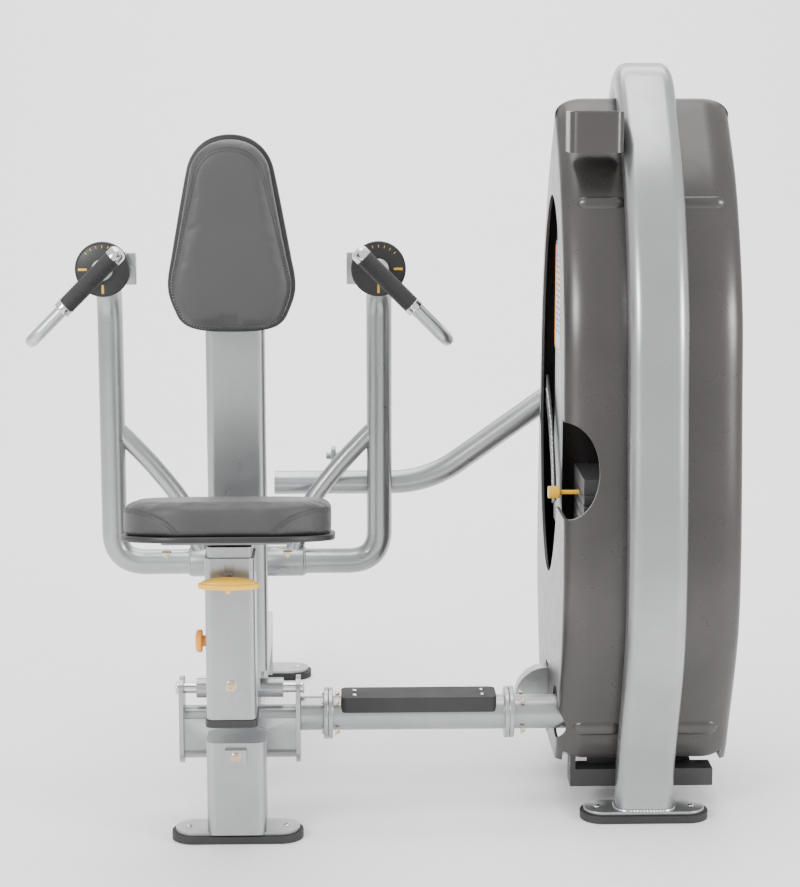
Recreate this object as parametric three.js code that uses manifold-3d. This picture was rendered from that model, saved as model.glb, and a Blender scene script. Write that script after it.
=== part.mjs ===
// Seated selectorized chest press with a rocking user support and a weight tower beside it.
// Millimetres, +Z up. The user faces -Y, the weight tower stands on the +X side.

import * as THREE from 'three';
import { mergeVertices } from 'three/addons/utils/BufferGeometryUtils.js';
import Module from 'manifold-3d';

const wasm = await Module();
wasm.setup();

// ---- driving dimensions -------------------------------------------------------------------
const GAP = 0.3; // clearance between pieces that touch
const STATION_X = -308; // centre plane of the seat, pads and arms
const TOWER_X = 587; // centre plane of the weight tower

const FOOT = { length: 284, width: 102, pad: 16, plate: 8 };
const POST = { width: 127, depth: 102, y: -460, top: 225 };
const RAIL = { size: 76, z: 150, start: -409, end: 760 };
const REAR_FOOT_Y = 790;

const ROCK = { y: -290, z: 283, sleeve: 22, bore: 12.3, half: 96 }; // rocking axle
const BLOCK = { half: 134, plate: 10, bottom: 116, top: 307, upperZ: 220, lowerZ: 153 };

const SPINE = { width: 127, depth: 76, y: -290, bottom: 330, top: 1300 }; // rocking back upright
const SLEEVE = { size: 101.6, wall: 5, y: -620, bottom: 326, top: 664 }; // seat tube
const SEAT = { width: 434, depth: 400, thick: 66, board: 12, tilt: -9.6, y: -650, z: 714 };
const BACK = { face: -480, thick: 56, board: 12, bottom: 1093, top: 1505, half: 136 };

const PRESS = { y: 162, z: 466, hub: 36.5, shaft: 12, hubEnd: 136, hubStart: 46 }; // arm pivot
const ARM = { tube: 30.15, x: 318, y: 172, shoulder: 1130 };
const DIAL = { x: 314, y: -10, z: 1187, radius: 63, thick: 16 };
const HANDLE = { rod: 14, grip: 19.5, reach: 96, out: 233, gripFrom: -62, gripTo: 115 };

const CRANK = { drop: 60, lift: 180 }; // crank pin below the arm pivot, rocker pin above the axle
const CROSS = { radius: 38.1, y: -290, z: 223, flange: 57.5 };
const UPPER = { radius: 28.5, y: 240, z: 644 }; // brace tube between rear upright and tower

const ARCH = { width: 127, depth: 76, midY: -110, steps: 32 };
const SHROUD = { width: 384, wall: 6, floor: 112 };
const STACK = { x: -35, y: -144, width: 190, depth: 204, bottom: 205, pitch: 25, groups: 4, perGroup: 5, head: 35 };
const GUIDE = { offset: 72, radius: 9.5, top: 1245 };
const PULLEY = { lower: 52, upper: 60, groove: 10, thick: 22, bore: 8.3, axle: 8, cable: 3.5 };

// ---- materials ----------------------------------------------------------------------------
const finish = (color, roughness, metalness) => ({ color, roughness, metalness });
const SILVER = finish(0xb9bbbc, 0.38, 0.55);
const CHARCOAL = finish(0x5d5b5a, 0.42, 0.25);
const BLACK = finish(0x18181a, 0.6, 0);
const VINYL = finish(0x4f5050, 0.62, 0);
const STEEL = finish(0xd5d6d8, 0.16, 1);
const IRON = finish(0x2b2b2d, 0.55, 0.3);
const YELLOW = finish(0xf6b417, 0.4, 0);
const ORANGE = finish(0xe2661c, 0.4, 0);
const LIGHT = finish(0xd9dadb, 0.5, 0);

// ---- solids -------------------------------------------------------------------------------
function solid(geometry) {
  const bare = geometry.index ? geometry.toNonIndexed() : geometry.clone();
  bare.deleteAttribute('normal');
  bare.deleteAttribute('uv');
  const merged = mergeVertices(bare, 1e-3);
  return new wasm.Manifold(new wasm.Mesh({
    numProp: 3,
    vertProperties: new Float32Array(merged.attributes.position.array),
    triVerts: new Uint32Array(merged.index.array),
  }));
}

function geometryOf(body) {
  const mesh = body.getMesh();
  const geometry = new THREE.BufferGeometry();
  geometry.setAttribute('position', new THREE.BufferAttribute(mesh.vertProperties, 3));
  geometry.setIndex(new THREE.BufferAttribute(mesh.triVerts, 1));
  return geometry;
}

function join(...geometries) {
  return geometryOf(geometries.map(solid).reduce((whole, next) => whole.add(next)));
}

function cut(base, ...tools) {
  return geometryOf(tools.map(solid).reduce((whole, next) => whole.subtract(next), solid(base)));
}

function keep(base, region) {
  return geometryOf(solid(base).intersect(solid(region)));
}

const box = (w, d, h, x, y, z) => new THREE.BoxGeometry(w, d, h).translate(x, y, z);
const rodX = (r, length, x, y, z, sides = 16) =>
  new THREE.CylinderGeometry(r, r, length, sides).rotateZ(Math.PI / 2).translate(x, y, z);
const rodY = (r, length, x, y, z, sides = 16) =>
  new THREE.CylinderGeometry(r, r, length, sides).translate(x, y, z);
const rodZ = (r, length, x, y, z, sides = 16) =>
  new THREE.CylinderGeometry(r, r, length, sides).rotateX(Math.PI / 2).translate(x, y, z);

function roundedShape(w, h, r) {
  const shape = new THREE.Shape();
  const [a, b] = [w / 2 - r, h / 2 - r];
  shape.absarc(a, b, r, 0, Math.PI / 2);
  shape.absarc(-a, b, r, Math.PI / 2, Math.PI);
  shape.absarc(-a, -b, r, Math.PI, Math.PI * 1.5);
  shape.absarc(a, -b, r, Math.PI * 1.5, Math.PI * 2);
  return shape;
}

// A rounded rectangle standing on z = bottom.
function slab(w, d, r, bottom, top, x, y, segments = 3) {
  return new THREE.ExtrudeGeometry(roundedShape(w, d, r), {
    depth: top - bottom, bevelEnabled: false, curveSegments: segments,
  }).translate(x, y, bottom);
}

function hollowSlab(w, d, r, wall, bottom, top, x, y) {
  const inner = slab(w - 2 * wall, d - 2 * wall, r - wall, bottom - 1, top + 1, x, y);
  return cut(slab(w, d, r, bottom, top, x, y), inner);
}

const v = (x, y, z) => new THREE.Vector3(x, y, z);

// Straight runs joined by smooth bends at the inner points.
function bentPath(points, bend) {
  const path = new THREE.CurvePath();
  let from = points[0];
  for (let i = 1; i < points.length - 1; i++) {
    const [before, corner, after] = [points[i - 1], points[i], points[i + 1]];
    const a = corner.clone().add(before.clone().sub(corner).setLength(bend));
    const b = corner.clone().add(after.clone().sub(corner).setLength(bend));
    path.add(new THREE.LineCurve3(from, a));
    path.add(new THREE.QuadraticBezierCurve3(a, corner, b));
    from = b;
  }
  path.add(new THREE.LineCurve3(from, points[points.length - 1]));
  return path;
}

function sweep(path, shape, steps) {
  return new THREE.ExtrudeGeometry(shape, { steps, extrudePath: path, bevelEnabled: false, curveSegments: 2 });
}

function pipe(path, radius, steps, sides = 16) {
  const circle = new THREE.Shape();
  for (let i = 0; i < sides; i++) {
    const angle = (i / sides) * Math.PI * 2;
    const [x, y] = [radius * Math.cos(angle), radius * Math.sin(angle)];
    if (i === 0) circle.moveTo(x, y);
    else circle.lineTo(x, y);
  }
  return sweep(path, circle, steps);
}

const straight = (a, b) => new THREE.LineCurve3(a, b);
const mirrored = (geometry) => {
  const flipped = geometry.clone().applyMatrix4(new THREE.Matrix4().makeScale(-1, 1, 1));
  const index = flipped.index ? Array.from(flipped.index.array)
    : Array.from({ length: flipped.attributes.position.count }, (_, i) => i);
  for (let i = 0; i < index.length; i += 3) [index[i], index[i + 1]] = [index[i + 1], index[i]];
  flipped.setIndex(index);
  return flipped;
};
const onSide = (geometry, side) => (side > 0 ? geometry : mirrored(geometry));

const machine = new THREE.Group();
const station = new THREE.Group();
const tower = new THREE.Group();
station.position.x = STATION_X;
tower.position.x = TOWER_X;
machine.add(station, tower);

function piece(group, name, geometry, look) {
  const mesh = new THREE.Mesh(geometry, new THREE.MeshStandardMaterial(look));
  mesh.name = name;
  group.add(mesh);
  return mesh;
}

// ---- feet and fixed station frame -----------------------------------------------------------
const footPad = (y) => slab(FOOT.length, FOOT.width, 48, 0, FOOT.pad, 0, y, 4);
const footPlate = (y) =>
  slab(FOOT.length - 16, FOOT.width - 16, 42, FOOT.pad + GAP, FOOT.pad + FOOT.plate, 0, y, 4);

function frontPost() {
  const post = slab(POST.width, POST.depth, 20, FOOT.pad + 4, POST.top, 0, POST.y);
  const stop = box(46, 14, 34, 0, POST.y - POST.depth / 2 - 5, 196);
  return join(footPlate(POST.y), post, stop);
}

function baseRail() {
  const run = RAIL.end - RAIL.start;
  const rail = box(RAIL.size, run - GAP, RAIL.size, 0, (RAIL.start + RAIL.end + GAP) / 2, RAIL.z);
  const leg = box(RAIL.size, RAIL.size, RAIL.z, 0, REAR_FOOT_Y - 30, RAIL.z / 2 + 20);
  return join(rail, leg, footPlate(REAR_FOOT_Y));
}

// Leaning tube behind the seat, with two cheeks that carry the arm shaft in front of it and a
// slot in its front face that the crank swings into.
const CRANK_SLOT = { width: 30, depth: 80, height: 130 };
function rearUpright() {
  const path = straight(v(0, 320, RAIL.z + 38.5), v(0, 150, 950));
  const tube = sweep(path, roundedShape(SPINE.depth, SPINE.width, 20), 1);
  const trimmed = keep(tube, box(400, 900, 900, 0, 250, RAIL.z + 38.5 + 450));
  const cheeks = [-32, 32].map((x) =>
    cut(join(box(14, 90, 76, x, PRESS.y + 45, PRESS.z), rodX(38, 14, x, PRESS.y, PRESS.z)),
      rodX(PRESS.shaft + 2 * GAP, 20, x, PRESS.y, PRESS.z)));
  const slot = box(CRANK_SLOT.width, CRANK_SLOT.depth, CRANK_SLOT.height, 0, PRESS.y + 40, PRESS.z - 36);
  return join(cut(trimmed, slot), ...cheeks);
}

// End plates tied by two cross tubes and a bar, bridged forward to the post under the rail.
const TIE = { upper: 23, lower: 30, barThick: 12, barHeight: 60, barZ: 190, bridge: 110 };
function pivotBlock() {
  const plates = [-1, 1].map((side) => slabX(BLOCK.plate, side * (BLOCK.half - BLOCK.plate / 2)));
  const length = 2 * BLOCK.half - 2;
  const tubes = [rodX(TIE.upper, length, 0, ROCK.y, BLOCK.upperZ), rodX(TIE.lower, length, 0, ROCK.y, BLOCK.lowerZ)];
  const bar = box(length, TIE.barThick, TIE.barHeight, 0, ROCK.y - 22, TIE.barZ);
  const bridge = box(RAIL.size + 36, TIE.bridge, 60, 0, ROCK.y - 70, RAIL.z + 8);
  const block = join(...plates, ...tubes, bar, bridge);
  const rail = box(RAIL.size + 2 * GAP, 400, RAIL.size + 2 * GAP, 0, RAIL.start + 190, RAIL.z);
  const post = slab(POST.width + 2 * GAP, POST.depth + 2 * GAP, 20, 0, 400, 0, POST.y);
  return cut(block, rail, post, rodX(ROCK.bore, 400, 0, ROCK.y, ROCK.z));
}

// End plate of the pivot block, standing in the YZ plane.
function slabX(thick, x) {
  const height = BLOCK.top - BLOCK.bottom;
  const plate = new THREE.ExtrudeGeometry(roundedShape(78, height, 26), {
    depth: thick, bevelEnabled: false, curveSegments: 2,
  });
  plate.rotateX(Math.PI / 2).rotateZ(Math.PI / 2);
  return plate.translate(x - thick / 2, ROCK.y, (BLOCK.top + BLOCK.bottom) / 2);
}

const flange = (x) => rodX(CROSS.flange, 10, x, CROSS.y, CROSS.z, 24);

function hollowX(radius, bore, from, to, ...extras) {
  const middle = (from + to) / 2;
  const bar = rodX(radius, to - from, middle, CROSS.y, CROSS.z, 20);
  return cut(join(bar, ...extras), rodX(bore, to - from + 60, middle, CROSS.y, CROSS.z, 14));
}

// Bolted run of cross tube between the station's stub and the tower's stub.
const TUBE_RUN = { from: -112, to: 289, bore: 31 };
const crossTube = () => hollowX(CROSS.radius, TUBE_RUN.bore, TUBE_RUN.from, TUBE_RUN.to,
  flange(TUBE_RUN.from + 5), flange(TUBE_RUN.to - 5));
const stationStub = () => hollowX(CROSS.radius, TUBE_RUN.bore, STATION_X + BLOCK.half + GAP,
  TUBE_RUN.from - GAP, flange(TUBE_RUN.from - GAP - 5));
const towerStub = () => hollowX(CROSS.radius, TUBE_RUN.bore, TUBE_RUN.to + GAP, TOWER_X - 160.3,
  flange(TUBE_RUN.to + GAP + 5));

const SADDLE = { left: -84, right: 260 };
function stepPad() {
  const middle = (SADDLE.left + SADDLE.right) / 2;
  const shape = roundedShape(SADDLE.right - SADDLE.left, 84, 14);
  const pad = new THREE.ExtrudeGeometry(shape, { depth: 34, bevelEnabled: false, curveSegments: 4 });
  pad.translate(middle, CROSS.y, CROSS.z + CROSS.radius - 26);
  return cut(pad, rodX(CROSS.radius + GAP, 500, middle, CROSS.y, CROSS.z, 28));
}

// Brace tube from the rear upright to the side of the arch's rear leg, with a stop lug on it.
function upperTube() {
  const { radius, y, z } = UPPER;
  const start = STATION_X + SPINE.width / 2 + 1;
  const end = TOWER_X - ARCH.width / 2 - 1;
  const path = bentPath([v(start, y, z), v(130, y, z), v(end + 40, y, z + 310)], 90);
  const lugX = STATION_X + 208;
  const lug = join(box(12, 44, 80, lugX, y, z + 46), rodX(9, 44, lugX, y, z + 66, 12));
  const beyond = box(200, 200, 200, end + 100, y, z + 290);
  return join(cut(pipe(path, radius, 16, 14), beyond), lug);
}

function buildStation() {
  piece(station, 'front_foot_pad', footPad(POST.y), BLACK);
  piece(station, 'rear_foot_pad', footPad(REAR_FOOT_Y), BLACK);
  piece(station, 'front_post', frontPost(), SILVER);
  piece(station, 'base_rail', baseRail(), SILVER);
  piece(station, 'rear_upright', rearUpright(), SILVER);
  piece(station, 'pivot_block', pivotBlock(), SILVER);
  const reach = 2 * BLOCK.half + 12;
  piece(station, 'rocker_axle', rodX(ROCK.bore - GAP, reach, 0, ROCK.y, ROCK.z), STEEL);
}

// ---- rocking user support -------------------------------------------------------------------
function backUpright() {
  const { width, depth, y, bottom, top } = SPINE;
  const tube = slab(width, depth, 18, bottom, top, 0, y);
  const sleeve = rodX(ROCK.sleeve, 2 * ROCK.half, 0, y, ROCK.z);
  const neck = box(90, 50, 60, 0, y, bottom - 14);
  const slot = box(26, 60, 70, 0, y + 30, ROCK.z + CRANK.lift);
  return cut(join(tube, sleeve, neck), slot, rodX(ROCK.bore, 300, 0, y, ROCK.z));
}

function rockerBeam() {
  const from = SLEEVE.y + SLEEVE.size / 2 + GAP;
  const to = SPINE.y - SPINE.depth / 2 - GAP;
  const length = to - from;
  const bars = [400, 624].map((z) => box(76, length, 50, 0, (from + to) / 2, z));
  return join(...bars, box(76, 30, 200, 0, to - 15, 520));
}

function seatSleeve() {
  const { size, wall, y, bottom, top } = SLEEVE;
  const tube = hollowSlab(size, size, 14, wall, bottom, top, 0, y);
  return cut(tube, box(19, 20, 22, 0, y - size / 2, 643));
}

function padOutline() {
  const height = BACK.top - BACK.bottom;
  const shape = new THREE.Shape();
  shape.moveTo(0, 0);
  shape.bezierCurveTo(70, 0, 104, 4, 118, 40);
  shape.bezierCurveTo(BACK.half, 80, BACK.half + 3, 96, 127, 150);
  shape.bezierCurveTo(118, 200, 102, 290, 92, 336);
  shape.bezierCurveTo(84, 378, 52, height, 0, height);
  shape.bezierCurveTo(-52, height, -84, 378, -92, 336);
  shape.bezierCurveTo(-102, 290, -118, 200, -127, 150);
  shape.bezierCurveTo(-BACK.half - 3, 96, -BACK.half, 80, -118, 40);
  shape.bezierCurveTo(-104, 4, -70, 0, 0, 0);
  return shape;
}

// A plate of the back pad's outline whose front face is at y.
function backPlate(thick, y) {
  const plate = new THREE.ExtrudeGeometry(padOutline(), {
    depth: thick, bevelEnabled: false, curveSegments: 5,
  });
  return plate.rotateX(Math.PI / 2).translate(0, y + thick, BACK.bottom);
}

function buildRocker() {
  piece(station, 'back_upright', backUpright(), SILVER);
  piece(station, 'rocker_beam', rockerBeam(), SILVER);
  piece(station, 'seat_sleeve', seatSleeve(), SILVER);
  const { size, y, bottom } = SLEEVE;
  piece(station, 'sleeve_end_ring', slab(size + 6, size + 6, 16, bottom - 16, bottom - GAP, 0, y), BLACK);
  piece(station, 'back_pad', backPlate(BACK.thick, BACK.face), VINYL);
  const board = BACK.face + BACK.thick + GAP;
  piece(station, 'back_board', backPlate(BACK.board, board), BLACK);
  const bracketFrom = board + BACK.board + GAP;
  const bracketTo = SPINE.y - SPINE.depth / 2 - GAP;
  const bracket = join(
    box(90, 8, 180, 0, bracketFrom + 4, 1210),
    box(60, bracketTo - bracketFrom, 120, 0, (bracketFrom + bracketTo) / 2, 1210));
  piece(station, 'pad_bracket', bracket, SILVER);
}

// ---- seat on its post -----------------------------------------------------------------------
// A rounded plate under or in the seat, before the seat's tilt is applied.
function seatLayer(width, depth, corner, low, high) {
  const shape = slab(width, depth, corner, low, high, 0, 0, 8);
  return shape.rotateX(THREE.MathUtils.degToRad(SEAT.tilt)).translate(0, SEAT.y, SEAT.z);
}

function seatPost() {
  const side = SLEEVE.size - 2 * SLEEVE.wall - 1;
  const post = slab(side, side, 9, 420, SEAT.z - 28, 0, SLEEVE.y);
  const plate = seatLayer(260, 220, 12, -20, -SEAT.board - GAP);
  return join(post, plate);
}

// The hand lever under the seat's front edge, turning about a pin across the sleeve's face.
const LEVER = { y: -692, z: 632 };
function seatLever() {
  const shape = new THREE.Shape();
  shape.moveTo(-62, 0);
  shape.bezierCurveTo(-58, -34, 58, -34, 62, 0);
  shape.bezierCurveTo(50, 14, 30, 15, 14, 15);
  shape.lineTo(-14, 15);
  shape.bezierCurveTo(-30, 15, -50, 14, -62, 0);
  const blade = new THREE.ExtrudeGeometry(shape, {
    depth: 14, bevelEnabled: true, bevelSize: 3, bevelOffset: -3, bevelThickness: 3,
    bevelSegments: 2, curveSegments: 8,
  });
  blade.translate(0, LEVER.y - 12, LEVER.z - 18);
  return join(blade, rodX(6, 30, 0, LEVER.y + 8, LEVER.z - 8, 16));
}

function buildSeat() {
  piece(station, 'seat_post', seatPost(), SILVER);
  piece(station, 'seat_board', seatLayer(SEAT.width - 24, SEAT.depth - 24, 128, -SEAT.board, -GAP), BLACK);
  piece(station, 'seat_cushion', seatLayer(SEAT.width, SEAT.depth, 138, 0, SEAT.thick), VINYL);
  piece(station, 'seat_lever', seatLever(), YELLOW);
  const face = -SLEEVE.size / 2 - GAP;
  const knob = join(rodX(12, 8, face - 4, SLEEVE.y, 480), rodX(24, 16, face - 14, SLEEVE.y, 480, 20));
  piece(station, 'stop_knob', knob, ORANGE);
}

// ---- press arms -----------------------------------------------------------------------------
function pressArm(side) {
  const { y, z, hub, hubStart, hubEnd } = PRESS;
  const middle = (hubStart + hubEnd) / 2;
  const tubePath = bentPath([v(middle, y, z), v(ARM.x, y, z), v(ARM.x, ARM.y, ARM.shoulder),
    v(DIAL.x, DIAL.y + 50, DIAL.z)], 76);
  const tube = pipe(tubePath, ARM.tube, 22, 12);
  const collar = rodX(hub, hubEnd - hubStart, middle, y, z);
  const brace = pipe(new THREE.CatmullRomCurve3([
    v(ARM.x, 170, 800), v(270, 169, 752), v(214, 168, 690), v(150, 166, 602), v(112, 164, 492)]), 21, 9, 10);
  const head = rodY(44, 66, DIAL.x, DIAL.y + DIAL.thick + 38, DIAL.z);
  const tab = box(34, 16, 74, DIAL.x - 56, DIAL.y + DIAL.thick + 32, DIAL.z - 2);
  const arm = join(tube, collar, brace, head, tab);
  return onSide(cut(arm, rodX(PRESS.shaft + GAP, 400, 0, y, z)), side);
}

function crankLever() {
  const { y, z, shaft } = PRESS;
  const pin = z - CRANK.drop;
  const lever = join(rodX(30, 20, 0, y, z), box(20, 34, CRANK.drop, 0, y, z - CRANK.drop / 2),
    rodX(17, 20, 0, y, pin));
  return cut(lever, rodX(shaft + GAP, 60, 0, y, z));
}

// Rod from the crank pin forward to the back upright; its rear end stops short of the crank.
function linkRod() {
  const front = v(0, SPINE.y + 22, ROCK.z + CRANK.lift);
  const back = v(0, PRESS.y - 34, PRESS.z - CRANK.drop + 4);
  return join(pipe(straight(front, back), 9, 2, 14), rodX(14, 18, 0, front.y, front.z));
}

function buildArms() {
  for (const [name, side] of [['left', -1], ['right', 1]]) {
    piece(station, `${name}_press_arm`, pressArm(side), SILVER);
    buildHandle(name, side);
  }
  piece(station, 'arm_shaft', rodX(PRESS.shaft, 2 * PRESS.hubEnd - 8, 0, PRESS.y, PRESS.z), STEEL);
  piece(station, 'crank_lever', crankLever(), IRON);
  piece(station, 'link_rod', linkRod(), STEEL);
}

// ---- handles: a J-shaped rod on a dial, held at half a right angle ---------------------------
const HANDLE_ANGLE = Math.PI / 4;
// A point on the handle: along is measured outward and down from the dial's centre.
function onHandle(along, forward) {
  return v(DIAL.x + along * Math.cos(HANDLE_ANGLE), DIAL.y - forward, DIAL.z - along * Math.sin(HANDLE_ANGLE));
}

function alongHandle(radius, from, to, forward, sides) {
  return pipe(straight(onHandle(from, forward), onHandle(to, forward)), radius, 1, sides);
}

function buildHandle(name, side) {
  const { rod, grip, reach, out, gripFrom, gripTo } = HANDLE;
  const dial = rodY(DIAL.radius, DIAL.thick, DIAL.x, DIAL.y + DIAL.thick / 2, DIAL.z, 32);
  piece(station, `${name}_dial`, onSide(dial, side), BLACK);
  const near = rod + 1;
  const end = out - rod;
  const path = bentPath([onHandle(-20, near), onHandle(end, near), onHandle(end, reach),
    onHandle(gripFrom + 2, reach)], 38);
  const cap = alongHandle(grip, gripFrom - 12, gripFrom + 3 - GAP, reach, 12);
  const boss = rodY(24, near, DIAL.x, DIAL.y - near / 2 - GAP, DIAL.z);
  const bar = join(pipe(path, rod, 20, 8), boss, cap);
  piece(station, `${name}_handle_bar`, onSide(bar, side), STEEL);
  const sleeve = cut(alongHandle(grip, gripFrom + 3, gripTo, reach, 12),
    alongHandle(rod + 1, gripFrom - 20, gripTo + 20, reach, 12));
  piece(station, `${name}_grip`, onSide(sleeve, side), BLACK);
}

// ---- weight tower ---------------------------------------------------------------------------
// Half of the arch's centreline as y from the middle and z; the rear half mirrors it.
const ARCH_HALF = [[-248, 22], [-255, 110], [-374, 446], [-342, 951], [-310, 1164], [-206, 1400],
  [-112, 1520], [0, 1612]];

function archCurve() {
  const front = ARCH_HALF.map(([y, z]) => v(0, ARCH.midY + y, z));
  const rear = ARCH_HALF.slice(0, -1).reverse().map(([y, z]) => v(0, ARCH.midY - y, z));
  return new THREE.CatmullRomCurve3([...front, ...rear]);
}

function arch() {
  const feet = [1, -1].map((end) => ARCH.midY + end * ARCH_HALF[0][0]);
  const tube = sweep(archCurve(), roundedShape(ARCH.width, ARCH.depth, 30), ARCH.steps);
  return join(tube, ...feet.map((y) => footPlate(y)));
}

// Outline inside the arch, inset from its centreline, as [y, z] with its first and last on the floor.
function towerOutline(inset, floor) {
  const curve = archCurve();
  const points = [];
  for (let i = 0; i <= ARCH.steps; i++) {
    const at = curve.getPointAt(i / ARCH.steps);
    const along = curve.getTangentAt(i / ARCH.steps);
    if (at.z < SHROUD.floor + 10) continue;
    at.add(v(0, along.z, -along.y).setLength(inset));
    points.push([at.y, at.z]);
  }
  const base = -ARCH_HALF[0][0] - inset - 8;
  return [[ARCH.midY - base, floor], ...points, [ARCH.midY + base, floor]];
}

// Rings of equal length, each {x, points: [[y, z], ...]}, joined in turn and closed by end fans.
function loftX(rings) {
  const count = rings[0].points.length;
  const positions = rings.flatMap(({ x, points }) => points.flatMap(([y, z]) => [x, y, z]));
  const index = [];
  for (let r = 0; r < rings.length - 1; r++) {
    for (let i = 0; i < count; i++) {
      const [a, b] = [r * count + i, r * count + ((i + 1) % count)];
      index.push(a, a + count, b, b, a + count, b + count);
    }
  }
  for (const [ring, flip] of [[0, false], [rings.length - 1, true]]) {
    const { x, points } = rings[ring];
    const centre = positions.length / 3;
    positions.push(x, ARCH.midY, points.reduce((sum, p) => sum + p[1], 0) / count);
    for (let i = 0; i < count; i++) {
      const [a, b] = [ring * count + i, ring * count + ((i + 1) % count)];
      index.push(centre, ...(flip ? [b, a] : [a, b]));
    }
  }
  const geometry = new THREE.BufferGeometry();
  geometry.setAttribute('position', new THREE.Float32BufferAttribute(positions, 3));
  geometry.setIndex(index);
  return geometry;
}

// The egg-shaped body of the tower: the outline swept across X with rounded edges.
function towerBody(inset, width, floor) {
  const edge = { thick: 62, size: 34, steps: 3 };
  const rings = [];
  for (const side of [-1, 1]) {
    for (let i = 0; i <= edge.steps; i++) {
      const angle = (Math.PI / 2) * ((side < 0 ? i : edge.steps - i) / edge.steps);
      const x = side * (width / 2 - edge.thick + edge.thick * Math.cos(angle));
      rings.push({ x, points: towerOutline(inset + edge.size * (1 - Math.sin(angle)), floor) });
    }
  }
  return loftX(rings);
}

function ellipseX(y, z, ry, rz, from, to) {
  const shape = new THREE.Shape();
  shape.absellipse(0, 0, ry, rz, 0, Math.PI * 2);
  const tool = new THREE.ExtrudeGeometry(shape, { depth: to - from, bevelEnabled: false, curveSegments: 12 });
  tool.applyMatrix4(new THREE.Matrix4().makeBasis(v(0, 1, 0), v(0, 0, 1), v(1, 0, 0)));
  return tool.translate(from, y, z);
}

const SPLIT_Y = -100;
function shroudShell() {
  const inset = ARCH.depth / 2 + 1.5;
  const { width, wall, floor } = SHROUD;
  const inside = towerBody(inset + wall, width - 2 * wall, floor + 8);
  return cut(towerBody(inset, width, floor), inside,
    box(width - 30, 420, 60, 0, ARCH.midY, floor), // open underside
    ellipseX(-90, 930, 225, 430, -220, -150), // side window
    ellipseX(-440, 790, 170, 118, -220, -122), // its lower end, round the front corner
    rodX(CROSS.flange + 1, 120, -190, CROSS.y, CROSS.z),
    box(80, 60, 160, -190, GUARD.y, GUARD.z));
}

function shroudHalf(shell, from, to) {
  return keep(shell, box(600, to - from, 2000, 0, (from + to) / 2, 900));
}

// The open tray on the shroud's front shoulder, beside the arch.
function topTray() {
  const block = cut(slab(116, 110, 20, 1462, 1548, -124, -290), slab(100, 94, 14, 1516, 1600, -124, -290));
  const body = towerBody(ARCH.depth / 2 + 1, SHROUD.width + 1, SHROUD.floor);
  const gap = sweep(archCurve(), roundedShape(ARCH.width + 3, ARCH.depth + 5, 30), ARCH.steps);
  const parts = solid(cut(block, body, gap)).decompose();
  return geometryOf(parts.reduce((best, part) => (part.volume() > best.volume() ? part : best)));
}

// A grooved wheel on an axle hole along X.
function pulley(radius) {
  const { groove, thick, bore } = PULLEY;
  const rims = [-1, 1].map((side) => rodX(radius, 6, side * (thick / 2 - 3), 0, 0, 20));
  return cut(join(rodX(radius - groove, thick, 0, 0, 0, 20), ...rims), rodX(bore, 60, 0, 0, 0, 16));
}

const UPPER_PULLEY = { y: STACK.y - PULLEY.upper + 4, z: 1340 };
const LOWER_PULLEY = { x: STACK.x + 4 - PULLEY.lower, z: CROSS.z + PULLEY.lower - 4 };
const GUARD = { y: -100, z: 204, radius: 72, thick: 40 };

const SILL = { width: 76, length: 416, height: 50, z: 70, barZ: 75, barHeight: 40 };
const PLATFORM = { z: 190, thick: 8 };
const UPRIGHT = { size: 40, x: 95, reach: 70, bottom: 79.5 };
const TUBE_PLATE_X = -154;
const PLATFORM_TOP = PLATFORM.z + PLATFORM.thick / 2;

// Sill, two inner uprights, the stack's platform and the cheeks that hold both pulleys.
function innerFrame() {
  const { x } = STACK;
  const { size, reach, bottom } = UPRIGHT;
  const sill = box(SILL.width, SILL.length, SILL.height, 0, ARCH.midY, SILL.z);
  const bar = (width, depth, middle, y) => box(width, depth, SILL.barHeight, middle, y, SILL.barZ);
  const crossBars = [bar(320, 60, 0, CROSS.y + 5), bar(180, 60, 40, STACK.y), bar(50, 200, UPRIGHT.x, STACK.y)];
  const tubePlate = box(12, 60, 210, TUBE_PLATE_X, CROSS.y + 5, 160);
  const pedestal = box(120, 120, 100, x, STACK.y, PLATFORM.z - 50);
  const platform = box(299, 220, PLATFORM.thick, 0, STACK.y, PLATFORM.z);
  const uprights = [-reach, reach].map((y) => box(size, size, GUIDE.top + 9.5 - bottom,
    UPRIGHT.x, STACK.y + y, (GUIDE.top + 9.5 + bottom) / 2));
  const top = box(180, 300, 10, 30, -150, GUIDE.top + 5 + GAP);
  const cheeks = [-20, 20].map((side) => box(8, 90, 128, x + side, UPPER_PULLEY.y, 1312));
  const lowerCheek = box(70, 8, 250, LOWER_PULLEY.x, CROSS.y + 20, 200);
  const frame = join(sill, ...crossBars, tubePlate, pedestal, platform, ...uprights, top, ...cheeks,
    lowerCheek, rodX(PULLEY.axle, 56, x, UPPER_PULLEY.y, UPPER_PULLEY.z, 16),
    rodY(PULLEY.axle, 40, LOWER_PULLEY.x, CROSS.y + 2, LOWER_PULLEY.z, 16));
  return cut(frame, rodZ(12, 60, x, STACK.y, GUIDE.top), rodZ(14, 60, x, UPPER_PULLEY.y - PULLEY.upper, GUIDE.top),
    rodX(12, 40, TUBE_PLATE_X, CROSS.y, CROSS.z));
}

const guideHoles = (radius, height, z) =>
  [-1, 1].map((side) => rodZ(radius, height, STACK.x, STACK.y + side * GUIDE.offset, z, 12));
const stackTop = STACK.bottom + STACK.groups * STACK.perGroup * STACK.pitch;
const PIN_Z = stackTop - STACK.pitch / 2;

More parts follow.
